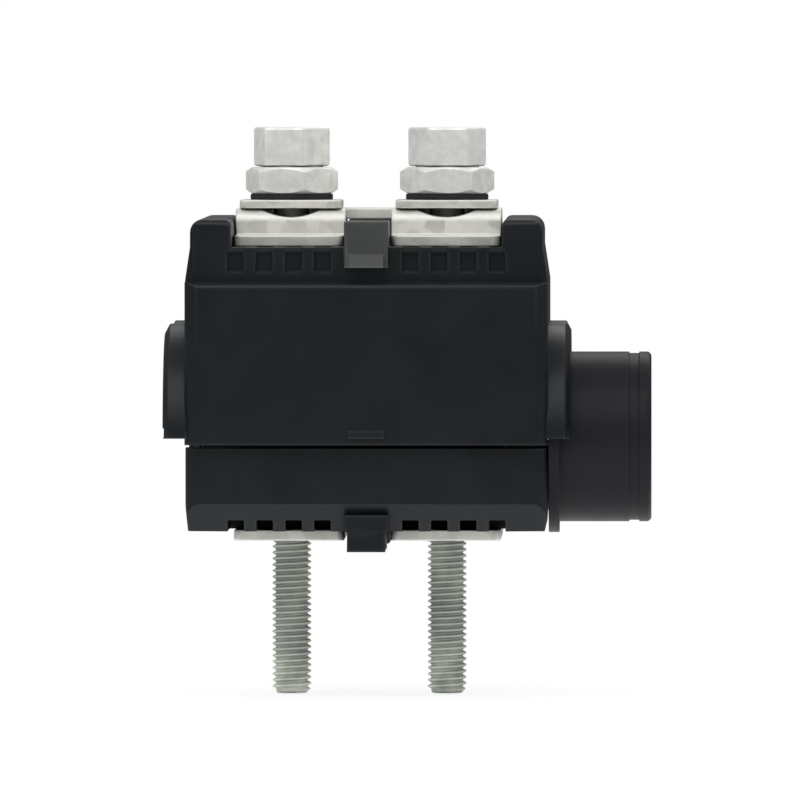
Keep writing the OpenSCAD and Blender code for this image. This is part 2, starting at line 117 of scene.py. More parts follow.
# The photograph's frame: its side in pixels, the size of a pixel at the bolts, and the origin's pixel
PHOTO_SIDE = 800
PHOTO_SCALE = 0.206 * MM
PHOTO_ORIGIN = (369.5, 434.0)
# Width of the camera's sensor, which Blender takes in millimetres
SENSOR_WIDTH = 36.0

# The round floor: its radius, its corners and its gap below the bolts' tips
FLOOR_RADIUS = 12.0
FLOOR_CORNERS = 96
FLOOR_GAP = 0.2 * MM
# Each soft box: its name, the setting of its power, its side and its place from the object's middle
SOFT_BOXES = (
    ("key_light", "key_power", 2.0, (-0.35, -1.7, 1.8)),
    ("left_light", "side_power", 1.2, (-1.5, -0.5, 0.9)),
    ("right_light", "side_power", 1.2, (1.5, -0.4, 0.9)),
    ("back_light", "back_power", 1.2, (0.3, 1.5, 1.4)),
)
# Rise of the sight line at which the room starts to brighten, and at which it has turned into the ceiling
ROOM_TOP = 0.2
CEILING_FOOT = 0.9


def srgb(code):
    """Turn an sRGB hex colour into linear red, green, blue and alpha."""
    parts = [int(code[i : i + 2], 16) / 255 for i in (1, 3, 5)]
    return [p / 12.92 if p <= 0.04045 else ((p + 0.055) / 1.055) ** 2.4 for p in parts] + [1.0]


def per_mm(size):
    """Texture scale at which a pattern repeats about every size millimetres."""
    return 1 / (size * MM)


def length(name, description, millimetres):
    """Property of a length that is given in millimetres."""
    return bpy.props.FloatProperty(
        name=name, description=description, default=millimetres * MM, min=0.0, precision=5, unit="LENGTH"
    )


def colour(name, description, value):
    """Property of a colour that is given as sRGB hex."""
    return bpy.props.FloatVectorProperty(
        name=name, description=description, default=srgb(value), size=4, min=0.0, max=1.0, subtype="COLOR"
    )


def angle(name, description, degrees):
    """Property of an angle that is given in degrees."""
    return bpy.props.FloatProperty(
        name=name, description=description, default=math.radians(degrees), subtype="ANGLE"
    )


def number(name, description, value, subtype="NONE"):
    """Property of a number, which may be a power or a focal length."""
    return bpy.props.FloatProperty(name=name, description=description, default=value, subtype=subtype)


def fraction(name, description, value):
    """Property of a number from 0 to 1."""
    return bpy.props.FloatProperty(
        name=name, description=description, default=value, min=0.0, max=1.0, subtype="FACTOR"
    )


class ConnectorSizes(bpy.types.PropertyGroup):
    """Edge radii and the forms that are finer than the solids."""

    plastic_edge: length("Plastic edge", "Radius of the housings' moulded edges", 0.25)
    tab_width: length("Tabs", "Width of the tabs between the plates, with a little to spare", 9.1)
    tab_start: length("Tab start", "How far the tabs' faces start outside the lower housing's faces", 0.8)
    tab_drop: length("Tab drop", "How far the tabs reach below the plates' seat", 4.4)
    ear_end: length("Ear ends", "Depth at which the upper housing's faces are cut at the ears' ends", 4.5)
    rubber_edge: length("Rubber edge", "Radius of the edges of the gaskets and washers", 0.3)
    cap_edge: length("Cap edge", "Radius of the edges of the cap", 0.12)
    cap_collar: length("Cap collar", "Distance from the cap's inner end at which its barrel is cut", 2.7)
    sheet_edge: length("Sheet edge", "Radius of the plates' and square washers' edges", 0.3)
    contact_edge: length("Contact edge", "Radius of the contact blades' edges", 0.1)
    head_edge: length("Head edge", "Radius of the edges of the lower hexagons and the nuts", 0.15)
    shear_edge: length("Upper hexagon edge", "Radius of the edges of the hexagon that shears off", 0.6)
    stay_flats: length("Lower hexagon", "Width across the flats of the hexagon that stays", 17.0)
    stay_height: length("Lower hexagon height", "Height of the hexagon that stays", 5.5)
    shear_flats: length("Upper hexagon", "Width across the flats of the hexagon that shears off", 14.0)
    neck_diameter: length("Neck", "Diameter of the neck that shears", 13.0)
    neck_height: length("Neck height", "Height of the neck that shears", 0.2)
    corner_radius: length("Hexagon corners", "Radius of the hexagons' corners", 0.7)
    left_turn: angle("Left head", "Angle by which the left bolt's head is turned", -12.0)
    right_turn: angle("Right head", "Angle by which the right bolt's head is turned", 2.0)
    shank_diameter: length("Shank", "Diameter of the bolts' plain shank and thread", 8.0)
    thread_pitch: length("Thread pitch", "Advance of the thread in one turn", 1.25)
    thread_depth: length("Thread depth", "Height of the thread from root to crest", 0.72)
    thread_length: length("Thread length", "Length of the thread from the tip", 70.0)
    tip_chamfer: length("Tip chamfer", "Chamfer at the bolts' tips", 1.0)
    nut_flats: length("Nut", "Width across the flats of the nuts", 13.0)
    nut_bore: length("Nut bore", "Diameter of the nuts' bore, over the bolts' thread", 8.3)
    nut_sink: length("Nut countersink", "Countersink at both ends of the nuts' bore", 0.5)


class ConnectorColours(bpy.types.PropertyGroup):
    """Colours of the finishes."""

    polyamide: colour("Polyamide", "Black glass-filled plastic of the housings", "#070B0F")
    # Lighter grey of the upper tabs and of the housings' edges: partly painted light, for the light they
    # catch, and partly wear
    lit_and_rubbed: colour("Rubbed polyamide", "The same plastic where hands have rubbed it grey", "#2F3231")
    cap_rubber: colour("Cap rubber", "Smooth rubber of the end cap", "#1A1B1F")
    seal_rubber: colour("Seal rubber", "Rubber of the washers and gaskets", "#1A1D1D")
    galvanised: colour("Galvanised sheet", "Zinc surface of the plates and square washers", "#F2F1EA")
    plated: colour("Plated heads", "Bright zinc of the bolt heads and nuts", "#FAFAF6")
    thread: colour("Plated thread", "Dull, slightly green zinc of the threads", "#D2D7CC")
    # Dark zinc of the threads' random patches, and the painted shade that darkens them up towards the housing
    thread_mottle_and_shade: colour("Oiled thread", "Zinc of the threads where oil has stayed", "#87908A")
    tinned: colour("Tinned copper", "Tin on the contact blades", "#CDC7B8")
    floor: colour("Floor", "White floor and background", "#FFFFFF")


class ConnectorStage(bpy.types.PropertyGroup):
    """Camera and light."""

    camera_height: angle("Camera elevation", "Angle by which the camera looks down", 1.2)
    camera_turn: angle("Camera turn", "Angle by which the camera stands to the right of the front", 0.85)
    camera_lens: number("Lens", "Focal length of the camera in millimetres", 800.0, "DISTANCE_CAMERA")
    key_power: number("Key light", "Power of the soft light above and in front", 18.0, "POWER")
    side_power: number("Side lights", "Power of each soft light beside the object", 3.0, "POWER")
    back_power: number("Back light", "Power of the soft light behind the object", 6.0, "POWER")
    ambient: number("Ambient light", "Strength of the room's own light", 1.05)
    floor_glow: fraction("Floor glow", "Share of the floor that stays white in the object's shadow", 0.8)
    shadow_inside: length("Shadow", "Distance from the middle at which the shadow starts to fade", 40.0)
    shadow_outside: length("Shadow end", "Distance from the middle at which the floor is plain white", 220.0)
    table: length("Table", "Distance up to which polished faces mirror a white floor", 120.0)
    table_end: length("Table end", "Distance beyond which they mirror the room", 450.0)
    ceiling: fraction("Ceiling", "Strength of what polished faces mirror above the object", 0.45)
    room: fraction("Room", "Strength of what polished faces mirror at the level of the object", 0.12)


def add(tree, kind, sockets=None, **settings):
    """Add a node with its settings, and set or link its input sockets."""
    node = tree.nodes.new(kind)
    for name, value in settings.items():
        setattr(node, name, value)
    for name, value in (sockets or {}).items():
        if isinstance(value, bpy.types.NodeSocket):
            tree.links.new(value, node.inputs[name])
        else:
            node.inputs[name].default_value = value
    return node


def new_material(name):
    """An empty material with its node tree."""
    material = bpy.data.materials.new(name)
    material.use_nodes = True
    material.node_tree.nodes.clear()
    return material, material.node_tree


def polyamide(name, dark, light, lit_and_rubbed):
    """Polyamide with glass fibre, moulded in a spark-eroded tool.

    It is satin. A fine even grain breaks up the highlights, slow flow marks change the shade and gloss a
    little, and its outer edges are painted lighter, partly as wear from knocks and partly as a painted
    highlight.
    """
    material, tree = new_material(name)
    where = add(tree, "ShaderNodeTexCoord").outputs["Object"]
    # The tool's grain is about 0.1 mm, and is drawn three times as coarse so that it shows
    grain = add(
        tree,
        "ShaderNodeTexNoise",
        {"Vector": where, "Scale": per_mm(0.3), "Detail": 3.0, "Roughness": 0.6},
    )
    # Flow marks are about 14 mm wide
    flow = add(
        tree,
        "ShaderNodeTexNoise",
        {"Vector": where, "Scale": per_mm(14), "Detail": 2.0, "Distortion": 0.6},
    ).outputs["Fac"]
    gloss = add(tree, "ShaderNodeMapRange", {"Value": flow, "To Min": 0.34, "To Max": 0.44})
    tint = add(tree, "ShaderNodeMix", {"Factor": flow, "A": dark, "B": light}, data_type="RGBA")
    # Within 0.8 mm of an outer edge, rays into the plastic meet its other faces, and there the plastic is
    # painted lighter: partly wear, partly a painted highlight
    inside = add(
        tree,
        "ShaderNodeAmbientOcclusion",
        {"Distance": 0.8 * MM},
        inside=True,
        only_local=True,
        samples=NEARBY_RAYS,
    )
    wear_and_highlight = add(
        tree,
        "ShaderNodeMapRange",
        {"Value": inside.outputs["AO"], "From Min": 0.35, "From Max": 0.95, "To Min": 0.5, "To Max": 0.0},
    )
    worn_and_lit = add(
        tree,
        "ShaderNodeMix",
        {"Factor": wear_and_highlight.outputs["Result"], "A": tint.outputs["Result"], "B": lit_and_rubbed},
        data_type="RGBA",
    )
    bump = add(
        tree,
        "ShaderNodeBump",
        {"Height": grain.outputs["Fac"], "Strength": 0.3, "Distance": 0.06 * MM},
    )
    shader = add(
        tree,
        "ShaderNodeBsdfPrincipled",
        {
            "Base Color": worn_and_lit.outputs["Result"],
            "Roughness": gloss.outputs["Result"],
            "Normal": bump.outputs["Normal"],
            "IOR": 1.53,
            "Specular IOR Level": 0.32,
        },
    )
    add(tree, "ShaderNodeOutputMaterial", {"Surface": shader.outputs["BSDF"]})
    return material


def spark_eroded_polyamide(colours):
    """The housings as they come from the tool: near black, with a faint blue cast in the light."""
    dark, lit_and_rubbed = list(colours.polyamide), list(colours.lit_and_rubbed)
    return polyamide("polyamide_spark_eroded", dark, srgb("#12191E"), lit_and_rubbed)


def lit_rubbed_polyamide(colours):
    """The tabs between the plates: a lighter grey copy of the housing plastic, partly painted light for the
    light they catch from above, partly wear.
    """
    # Its flow marks and edges are lighter still, as painted light and wear
    return polyamide("polyamide_rubbed", list(colours.lit_and_rubbed), srgb("#3A3D3B"), srgb("#454846"))


def smooth_cap_rubber(colours):
    """Thermoplastic rubber, moulded in a polished tool.

    It is black with a soft broad highlight, which a cloudy bloom makes a little uneven.
    """
    material, tree = new_material("cap_rubber_smooth")
    where = add(tree, "ShaderNodeTexCoord").outputs["Object"]
    # Clouds of bloom about 9 mm wide, on a skin with 0.6 mm waves
    bloom = add(tree, "ShaderNodeTexNoise", {"Vector": where, "Scale": per_mm(9), "Detail": 4.0})
    gloss = add(tree, "ShaderNodeMapRange", {"Value": bloom.outputs["Fac"], "To Min": 0.36, "To Max": 0.48})
    skin = add(tree, "ShaderNodeTexNoise", {"Vector": where, "Scale": per_mm(0.6), "Detail": 2.0})
    bump = add(
        tree,
        "ShaderNodeBump",
        {"Height": skin.outputs["Fac"], "Strength": 0.06, "Distance": 0.05 * MM},
    )
    shader = add(
        tree,
        "ShaderNodeBsdfPrincipled",
        {
            "Base Color": list(colours.cap_rubber),
            "Roughness": gloss.outputs["Result"],
            "Normal": bump.outputs["Normal"],
            "IOR": 1.5,
            "Specular IOR Level": 0.14,
        },
    )
    add(tree, "ShaderNodeOutputMaterial", {"Surface": shader.outputs["BSDF"]})
    return material


def seal_rubber(colours):
    """Soft black rubber of the gaskets and washers.

    It is matt, with a dry bloom that lightens it in patches.
    """
    material, tree = new_material("seal_rubber_matt")
    where = add(tree, "ShaderNodeTexCoord").outputs["Object"]
    # Patches of bloom about 4 mm wide
    bloom = add(
        tree,
        "ShaderNodeTexNoise",
        {"Vector": where, "Scale": per_mm(4), "Detail": 5.0},
    ).outputs["Fac"]
    tint = add(
        tree,
        "ShaderNodeMix",
        {"Factor": bloom, "A": list(colours.seal_rubber), "B": srgb("#242828")},
        data_type="RGBA",
    )
    bump = add(tree, "ShaderNodeBump", {"Height": bloom, "Strength": 0.1, "Distance": 0.05 * MM})
    shader = add(
        tree,
        "ShaderNodeBsdfPrincipled",
        {
            "Base Color": tint.outputs["Result"],
            "Roughness": 0.72,
            "Normal": bump.outputs["Normal"],
            "Specular IOR Level": 0.3,
        },
    )
    add(tree, "ShaderNodeOutputMaterial", {"Surface": shader.outputs["BSDF"]})
    return material


def galvanised_sheet(colours):
    """Hot-dip galvanised sheet steel, stamped and folded.

    Its zinc is light grey and dulled by a thin white skin, crystals reflect more or less from cell to cell,
    and it is darkened with painted shade in the folds and under the washers.
    """
    material, tree = new_material("steel_sheet_galvanised")
    where = add(tree, "ShaderNodeTexCoord").outputs["Object"]
    # Crystals of about 2.6 mm, under stains of about 7 mm
    spangle = add(tree, "ShaderNodeTexVoronoi", {"Vector": where, "Scale": per_mm(2.6), "Randomness": 1.0})
    cell = add(tree, "ShaderNodeSeparateColor", {"Color": spangle.outputs["Color"]}).outputs["Red"]
    stain = add(
        tree,
        "ShaderNodeTexNoise",
        {"Vector": where, "Scale": per_mm(7), "Detail": 6.0, "Roughness": 0.65},
    )
    mottle = add(
        tree,
        "ShaderNodeMix",
        {"Factor": 0.4, "A": stain.outputs["Fac"], "B": cell},
        data_type="FLOAT",
    )
    tint = add(
        tree,
        "ShaderNodeMix",
        {"Factor": mottle.outputs["Result"], "A": srgb("#CACAC4"), "B": list(colours.galvanised)},
        data_type="RGBA",
    )
    gloss = add(tree, "ShaderNodeMapRange", {"Value": cell, "To Min": 0.28, "To Max": 0.52})
    # Painted shade is darkest where most of the 3 mm around a point is closed in
    around = add(tree, "ShaderNodeAmbientOcclusion", {"Distance": 3 * MM}, samples=NEARBY_RAYS)
    painted_shade = add(
        tree,
        "ShaderNodeMapRange",
        {"Value": around.outputs["AO"], "From Min": 0.1, "From Max": 0.4, "To Min": 0.9, "To Max": 0.0},
    )
    # Mix the painted shade into the zinc's colour
    shaded = add(
        tree,
        "ShaderNodeMix",
        {"Factor": painted_shade.outputs["Result"], "A": tint.outputs["Result"], "B": srgb("#35342F")},
        data_type="RGBA",
    )
    # Scratches and dross of about 0.5 mm
    scratch = add(tree, "ShaderNodeTexNoise", {"Vector": where, "Scale": per_mm(0.5), "Detail": 3.0})
    bump = add(
        tree,
        "ShaderNodeBump",
        {"Height": scratch.outputs["Fac"], "Strength": 0.12, "Distance": 0.05 * MM},
    )
    shader = add(
        tree,
        "ShaderNodeBsdfPrincipled",
        {
            "Base Color": shaded.outputs["Result"],
            "Metallic": BARE_ZINC,
            "Roughness": gloss.outputs["Result"],
            "Normal": bump.outputs["Normal"],
        },
    )
    add(tree, "ShaderNodeOutputMaterial", {"Surface": shader.outputs["BSDF"]})
    return material


def plated_steel(name, light, dark, patch, smooth, rough, shade_span=None):
    """Zinc-plated steel, whose colour and gloss change between light and dark patches.

    The patches' size is in millimetres. Edges are painted lighter, partly as polish from tools and partly as
    a painted highlight, and corners are darkened with painted shade. Between the two heights given for the
    painted shade, if any, the zinc goes from mostly light to mostly dark.
    """
    material, tree = new_material(name)
    where = add(tree, "ShaderNodeTexCoord").outputs["Object"]
    blotch = add(
        tree,
        "ShaderNodeTexNoise",
        {"Vector": where, "Scale": per_mm(patch), "Detail": 5.0, "Roughness": 0.6},
    )
    share = add(
        tree,
        "ShaderNodeMapRange",
        {"Value": blotch.outputs["Fac"], "From Min": 0.3, "From Max": 0.7},
    ).outputs["Result"]
    # The threads take more of the dark zinc up towards the housing, as painted shade
    if shade_span:
        height = add(tree, "ShaderNodeSeparateXYZ", {"Vector": where}).outputs["Z"]
        shade_ramp = add(
            tree,
            "ShaderNodeMapRange",
            {"Value": height, "From Min": shade_span[0], "From Max": shade_span[1], "To Min": 1.7, "To Max": 0.7},
            interpolation_type="SMOOTHSTEP",
        ).outputs["Result"]
        share = add(tree, "ShaderNodeMath", {0: share, 1: shade_ramp}, operation="MULTIPLY").outputs[0]
    tint = add(tree, "ShaderNodeMix", {"Factor": share, "A": dark, "B": light}, data_type="RGBA")
    # Within 0.5 mm of an outer edge, rays into the metal meet its other faces, and there the zinc is painted
    # lighter: partly polish from tools, partly a painted highlight
    inside = add(
        tree,
        "ShaderNodeAmbientOcclusion",
        {"Distance": 0.5 * MM},
        inside=True,
        only_local=True,
        samples=NEARBY_RAYS,
    )
    polish_and_glint = add(
        tree,
        "ShaderNodeMapRange",
        {"Value": inside.outputs["AO"], "From Min": 0.4, "From Max": 0.95, "To Min": 0.8, "To Max": 0.0},
    )
    polished_and_lit = add(
        tree,
        "ShaderNodeMix",
        {"Factor": polish_and_glint.outputs["Result"], "A": tint.outputs["Result"], "B": light},
        data_type="RGBA",
    )
    # Painted shade is darkest where most of the 2 mm around a point is closed in
    around = add(tree, "ShaderNodeAmbientOcclusion", {"Distance": 2 * MM}, samples=NEARBY_RAYS)
    painted_shade = add(
        tree,
        "ShaderNodeMapRange",
        {"Value": around.outputs["AO"], "From Min": 0.1, "From Max": 0.6, "To Min": 0.8, "To Max": 0.0},
    )
    shaded = add(
        tree,
        "ShaderNodeMix",
        {"Factor": painted_shade.outputs["Result"], "A": polished_and_lit.outputs["Result"], "B": srgb("#4A4B46")},
        data_type="RGBA",
    )
    gloss = add(tree, "ShaderNodeMapRange", {"Value": share, "To Min": rough, "To Max": smooth})
    # Forging leaves waves of about 1.2 mm
    forged = add(tree, "ShaderNodeTexNoise", {"Vector": where, "Scale": per_mm(1.2), "Detail": 3.0})
    bump = add(
        tree,
        "ShaderNodeBump",
        {"Height": forged.outputs["Fac"], "Strength": 0.15, "Distance": 0.08 * MM},
    )
    shader = add(
        tree,
        "ShaderNodeBsdfPrincipled",
        {
            "Base Color": shaded.outputs["Result"],
            "Metallic": BARE_ZINC,
            "Roughness": gloss.outputs["Result"],
            "Normal": bump.outputs["Normal"],
        },
    )
    add(tree, "ShaderNodeOutputMaterial", {"Surface": shader.outputs["BSDF"]})
    return material


def plated_head(colours):
    """Cold-forged steel with bright zinc plating: light, clean and only a little mottled."""
    light, dark = list(colours.plated), srgb("#D8DAD5")
    return plated_steel("steel_zinc_plated_bright", light, dark, patch=2.5, smooth=0.30, rough=0.50)


def plated_thread(colours):
    """Rolled thread with dull zinc plating: grey with a green cast, and painted darker up towards the housing
    as painted shade.
    """
    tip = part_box("shear_bolt_left")[0].z
    light, dark = list(colours.thread), list(colours.thread_mottle_and_shade)
    return plated_steel(
        "steel_zinc_plated_dull",
        light,
        dark,
        patch=8.0,
        smooth=0.42,
        rough=0.55,
        shade_span=(tip, tip + SHADE_FADE_HEIGHT),
    )


def tinned_copper(colours):
    """Stamped copper with a tin coat: pale, faintly warm, with fine lines from the rolled strip."""
    material, tree = new_material("copper_tinned")
    where = add(tree, "ShaderNodeTexCoord").outputs["Object"]
    # Rolling lines run front to back, 0.15 mm apart and drawn a hundred times as long as they are wide
    stretch = add(tree, "ShaderNodeMapping", {"Vector": where, "Scale": (1.0, 0.01, 1.0)})
    lines = add(
        tree,
        "ShaderNodeTexNoise",
        {"Vector": stretch.outputs["Vector"], "Scale": per_mm(0.15), "Detail": 2.0},
    ).outputs["Fac"]
    gloss = add(tree, "ShaderNodeMapRange", {"Value": lines, "To Min": 0.24, "To Max": 0.42})
    bump = add(tree, "ShaderNodeBump", {"Height": lines, "Strength": 0.08, "Distance": 0.03 * MM})
    shader = add(
        tree,
        "ShaderNodeBsdfPrincipled",
        {
            "Base Color": list(colours.tinned),
            "Metallic": 1.0,
            "Roughness": gloss.outputs["Result"],
            "Normal": bump.outputs["Normal"],
        },
    )
    add(tree, "ShaderNodeOutputMaterial", {"Surface": shader.outputs["BSDF"]})
    return material


def white_floor(stage, colours):
    """Matt white floor that keeps a soft shadow.

    The camera sees it as the white background, and reflections as a white table in the room. From below it
    is clear.
    """
    material, tree = new_material("floor_white_matt")
    path = add(tree, "ShaderNodeLightPath").outputs
    mirrored = add(
        tree,
        "ShaderNodeMath",
        {0: path["Is Glossy Ray"], 1: path["Is Transmission Ray"]},
        operation="MAXIMUM",
    ).outputs[0]
    seen = add(tree, "ShaderNodeMath", {0: path["Is Camera Ray"], 1: mirrored}, operation="MAXIMUM")
    where = add(tree, "ShaderNodeTexCoord").outputs["Object"]
    away = add(tree, "ShaderNodeVectorMath", {0: where}, operation="LENGTH").outputs["Value"]
    table = add(
        tree,
        "ShaderNodeMapRange",
        {
            "Value": away,
            "From Min": stage.table,
            "From Max": stage.table_end,
            "To Min": 1.0,
            "To Max": stage.room,
        },
        interpolation_type="SMOOTHSTEP",
    )
    glow_share = add(
        tree,
        "ShaderNodeMapRange",
        {
            "Value": away,
            "From Min": stage.shadow_inside,
            "From Max": stage.shadow_outside,
            "To Min": stage.floor_glow,
            "To Max": 1.0,
        },
        interpolation_type="SMOOTHSTEP",
    )
    white = add(tree, "ShaderNodeMath", {0: mirrored, 1: glow_share.outputs["Result"]}, operation="MAXIMUM")
    share = add(tree, "ShaderNodeMath", {0: seen.outputs[0], 1: white.outputs[0]}, operation="MULTIPLY")
    strength = add(
        tree,
        "ShaderNodeMix",
        {"Factor": mirrored, "A": 1.0, "B": table.outputs["Result"]},
        data_type="FLOAT",
    )
    matt = add(tree, "ShaderNodeBsdfDiffuse", {"Color": list(colours.floor)})
    glow = add(
        tree,
        "ShaderNodeEmission",
        {"Color": list(colours.floor), "Strength": strength.outputs["Result"]},
    )
    top = add(tree, "ShaderNodeMixShader", {0: share.outputs[0], 1: matt.outputs[0], 2: glow.outputs[0]})
    clear = add(tree, "ShaderNodeBsdfTransparent")
    below = add(tree, "ShaderNodeNewGeometry").outputs["Backfacing"]
    both = add(tree, "ShaderNodeMixShader", {0: below, 1: top.outputs[0], 2: clear.outputs[0]})
    add(tree, "ShaderNodeOutputMaterial", {"Surface": both.outputs[0]})
    return material


def place(mesh, node, body, materials):
    """Link a finished mesh to the scene in place of a node, on the body that carries it."""
    for material in materials:
        mesh.materials.append(material)
    piece = bpy.data.objects.new(mesh.name, mesh)
    bpy.context.scene.collection.objects.link(piece)
    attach(piece, body)
    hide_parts(node)
    return piece


def inside_corner(edge):
    """Whether an edge is an upright inside corner."""
    along = edge.verts[1].co - edge.verts[0].co
    return not edge.is_convex and abs(along.z) > UPRIGHT * along.length


def round_edges(shell, radius, segments=3, crowded=False):
    """Round a shell's sharp edges.

    Where small forms crowd, each radius is measured along the edges beside it. Elsewhere upright inside
    corners stay.
    """
    shell.normal_update()
    edges = [edge for edge in shell.edges if edge.is_manifold and edge.calc_face_angle() > SHARP]
    if not crowded:
        edges = [edge for edge in edges if not inside_corner(edge)]
    bmesh.ops.bevel(
        shell,
        geom=edges,
        offset=radius,
        offset_type="ABSOLUTE" if crowded else "OFFSET",
        segments=segments,
        profile=0.5,
        affect="EDGES",
        clamp_overlap=False,
        loop_slide=crowded,
    )


def even_shading(piece):
    """Shade a piece smoothly, with its flats kept flat."""
    piece.data.shade_smooth()
    piece.data.set_sharp_from_angle(angle=CREASE)
    weighted = piece.modifiers.new("Flat faces", "WEIGHTED_NORMAL")
    weighted.keep_sharp = True
    weighted.weight = 100


def finish_node(node, radius, material, crowded=False, cuts=()):
    """Stand a clean copy of a node, with rounded edges and its finish, in the node's place.

    Its faces are first cut at each axis and distance of cuts, so that the shading of a long face's end
    stays there.
    """
    source = frame["nodes"][node]
    shell = bmesh.new()
    shell.from_mesh(source.data)
    bmesh.ops.remove_doubles(shell, verts=shell.verts, dist=WELD)
    bmesh.ops.dissolve_limit(shell, angle_limit=FLAT, verts=shell.verts, edges=shell.edges)
    for axis, distance in cuts:
        every = [*shell.verts, *shell.edges, *shell.faces]
        bmesh.ops.bisect_plane(shell, geom=every, dist=WELD, plane_co=axis * distance, plane_no=axis)
    round_edges(shell, radius, crowded=crowded)
    mesh = bpy.data.meshes.new(node + "_finished")
    shell.to_mesh(mesh)
    shell.free()
    piece = place(mesh, node, source["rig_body"], [material])
    even_shading(piece)
    return piece


def loft(shell, rings, material_index=0, closed=False):
    """Skin rings of as many points each, closed on itself or with a flat at both ends."""
    rows = [[shell.verts.new(point) for point in ring] for ring in rings]
    count = len(rings[0])
    pairs = list(zip(rows, rows[1:]))
    if closed:
        pairs.append((rows[-1], rows[0]))
    faces = [
        shell.faces.new((low[i], low[(i + 1) % count], high[(i + 1) % count], high[i]))
        for low, high in pairs
        for i in range(count)
    ]
    if not closed:
        faces.append(shell.faces.new(rows[0][::-1]))
        faces.append(shell.faces.new(rows[-1]))
    for face in faces:
        face.material_index = material_index


def join(shell, other):
    """Add a second shell to a shell, and free it."""
    mesh = bpy.data.meshes.new("joined")
    other.to_mesh(mesh)
    other.free()
    shell.from_mesh(mesh)
    bpy.data.meshes.remove(mesh)


def circle(centre, radius, z, steps=64):
    """Points of a level circle."""
    turns = [2 * math.pi * i / steps for i in range(steps)]
    return [Vector((centre.x + radius * math.cos(a), centre.y + radius * math.sin(a), z)) for a in turns]


def hexagon_outline(flats, corner, turned, corner_steps=6, flat_steps=8):
    """Points of a hexagon about the origin, whose corners have a radius. It is turned by an angle."""
    middle = (flats / 2 - corner) / math.cos(math.pi / 6)
    points = []
    for i in range(6):
        corner_at = turned + i * math.pi / 3
        centre = Vector((math.cos(corner_at), math.sin(corner_at))) * middle
        arc = [corner_at - math.pi / 6 + math.pi / 3 * k / corner_steps for k in range(corner_steps + 1)]
        points += [centre + Vector((math.cos(a), math.sin(a))) * corner for a in arc]
    spread = []
    for i, point in enumerate(points):
        after = points[(i + 1) % len(points)]
        steps = flat_steps if (i + 1) % (corner_steps + 1) == 0 else 1
        spread += [point.lerp(after, k / steps) for k in range(steps)]
    return spread


def hexagon_rings(centre, outline, flats, low, high):
    """Rings of a hexagon whose corners are turned off to a cone at both ends."""
    face_radius = TURNED_SHARE * flats
    foot, wall_low, wall_high, crown = [], [], [], []
    for point in outline:
        reach = point.length
        edge = centre.xy + point
        seat = centre.xy + point * face_radius / reach
        fall = (reach - face_radius) * TURNED_SLOPE
        foot.append(Vector((*seat, low)))
        wall_low.append(Vector((*edge, low + fall)))
        wall_high.append(Vector((*edge, high - fall)))
        crown.append(Vector((*seat, high)))
    return [foot, wall_low, wall_high, crown]


def thread(shell, centre, sizes, low, high, steps=36):
    """Right-hand thread from low to high.

    It is chamfered at its low end and runs out to the shank at its high end.
    """
    crest = sizes.shank_diameter / 2
    root = crest - sizes.thread_depth
    tip = crest - sizes.tip_chamfer
    pitch = sizes.thread_pitch
    # Flats at root and crest take a fifth of the pitch each, and the flanks the rest
    profile = ((0.0, root), (0.2, root), (0.5, crest), (0.7, crest), (1.0, root))
    turns = math.ceil((high - low) / pitch) + 1
    rows = []
    for i in range(turns * steps + 1):
        turned = 2 * math.pi * i / steps
        row = []
        for share, radius in profile:
            z = min(max(low + pitch * (i / steps + share - 1), low), high)
            runout = min(max((z - high) / pitch + 1, 0), 1)
            reach = min(radius + (crest - radius) * runout, tip + z - low)
            x, y = centre.x + reach * math.cos(turned), centre.y + reach * math.sin(turned)
            row.append(shell.verts.new((x, y, z)))
        rows.append(row)
    for row, after in zip(rows, rows[1:]):
        for k in range(len(profile) - 1):
            shell.faces.new((row[k], after[k], after[k + 1], row[k + 1]))
    bmesh.ops.remove_doubles(shell, verts=shell.verts, dist=WELD)
    bmesh.ops.dissolve_degenerate(shell, dist=WELD, edges=shell.edges)
    bmesh.ops.holes_fill(shell, edges=[edge for edge in shell.edges if edge.is_boundary])
    bmesh.ops.recalc_face_normals(shell, faces=shell.faces)
    for face in shell.faces:
        face.material_index = THREAD_FINISH


def centre_of(node):
    """Middle of a node's box."""
    low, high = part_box(node)
    return (low + high) / 2


class CONNECTOR_OT_housings(bpy.types.Operator):
    """Finish the two moulded housings"""

    bl_idname = "connector.housings"
    bl_label = "Housings"

    def execute(self, context):
        sizes = context.scene.connector_sizes
        colours = context.scene.connector_colours
        material = spark_eroded_polyamide(colours)
        front, rear = (corner.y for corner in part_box("lower_housing"))
        cuts = ((ACROSS, front + sizes.ear_end), (ACROSS, rear - sizes.ear_end))
        upper = finish_node("upper_housing", sizes.plastic_edge, material, crowded=True, cuts=cuts)
        finish_node("lower_housing", sizes.plastic_edge, material, crowded=True)
        self.lighten_tabs(upper, lit_rubbed_polyamide(colours), sizes, front, rear)
        return {"FINISHED"}

    def lighten_tabs(self, upper, material, sizes, front, rear):
        """Give the tabs, which stand up from the plates' seat and out of the block, their lighter grey, which
        is partly painted light from above and partly wear.
        """
        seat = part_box("pressure_plate")[0].z
        middle = (front + rear) / 2
        block = rear - middle + sizes.tab_start
        upper.data.materials.append(material)
        lit_and_rubbed = len(upper.data.materials) - 1
        for face in upper.data.polygons:
            at = face.center
            stands_out = at.z > seat + sizes.plastic_edge or abs(at.y - middle) > block
            if stands_out and abs(at.x) <= sizes.tab_width / 2 and at.z > seat - sizes.tab_drop:
                face.material_index = lit_and_rubbed


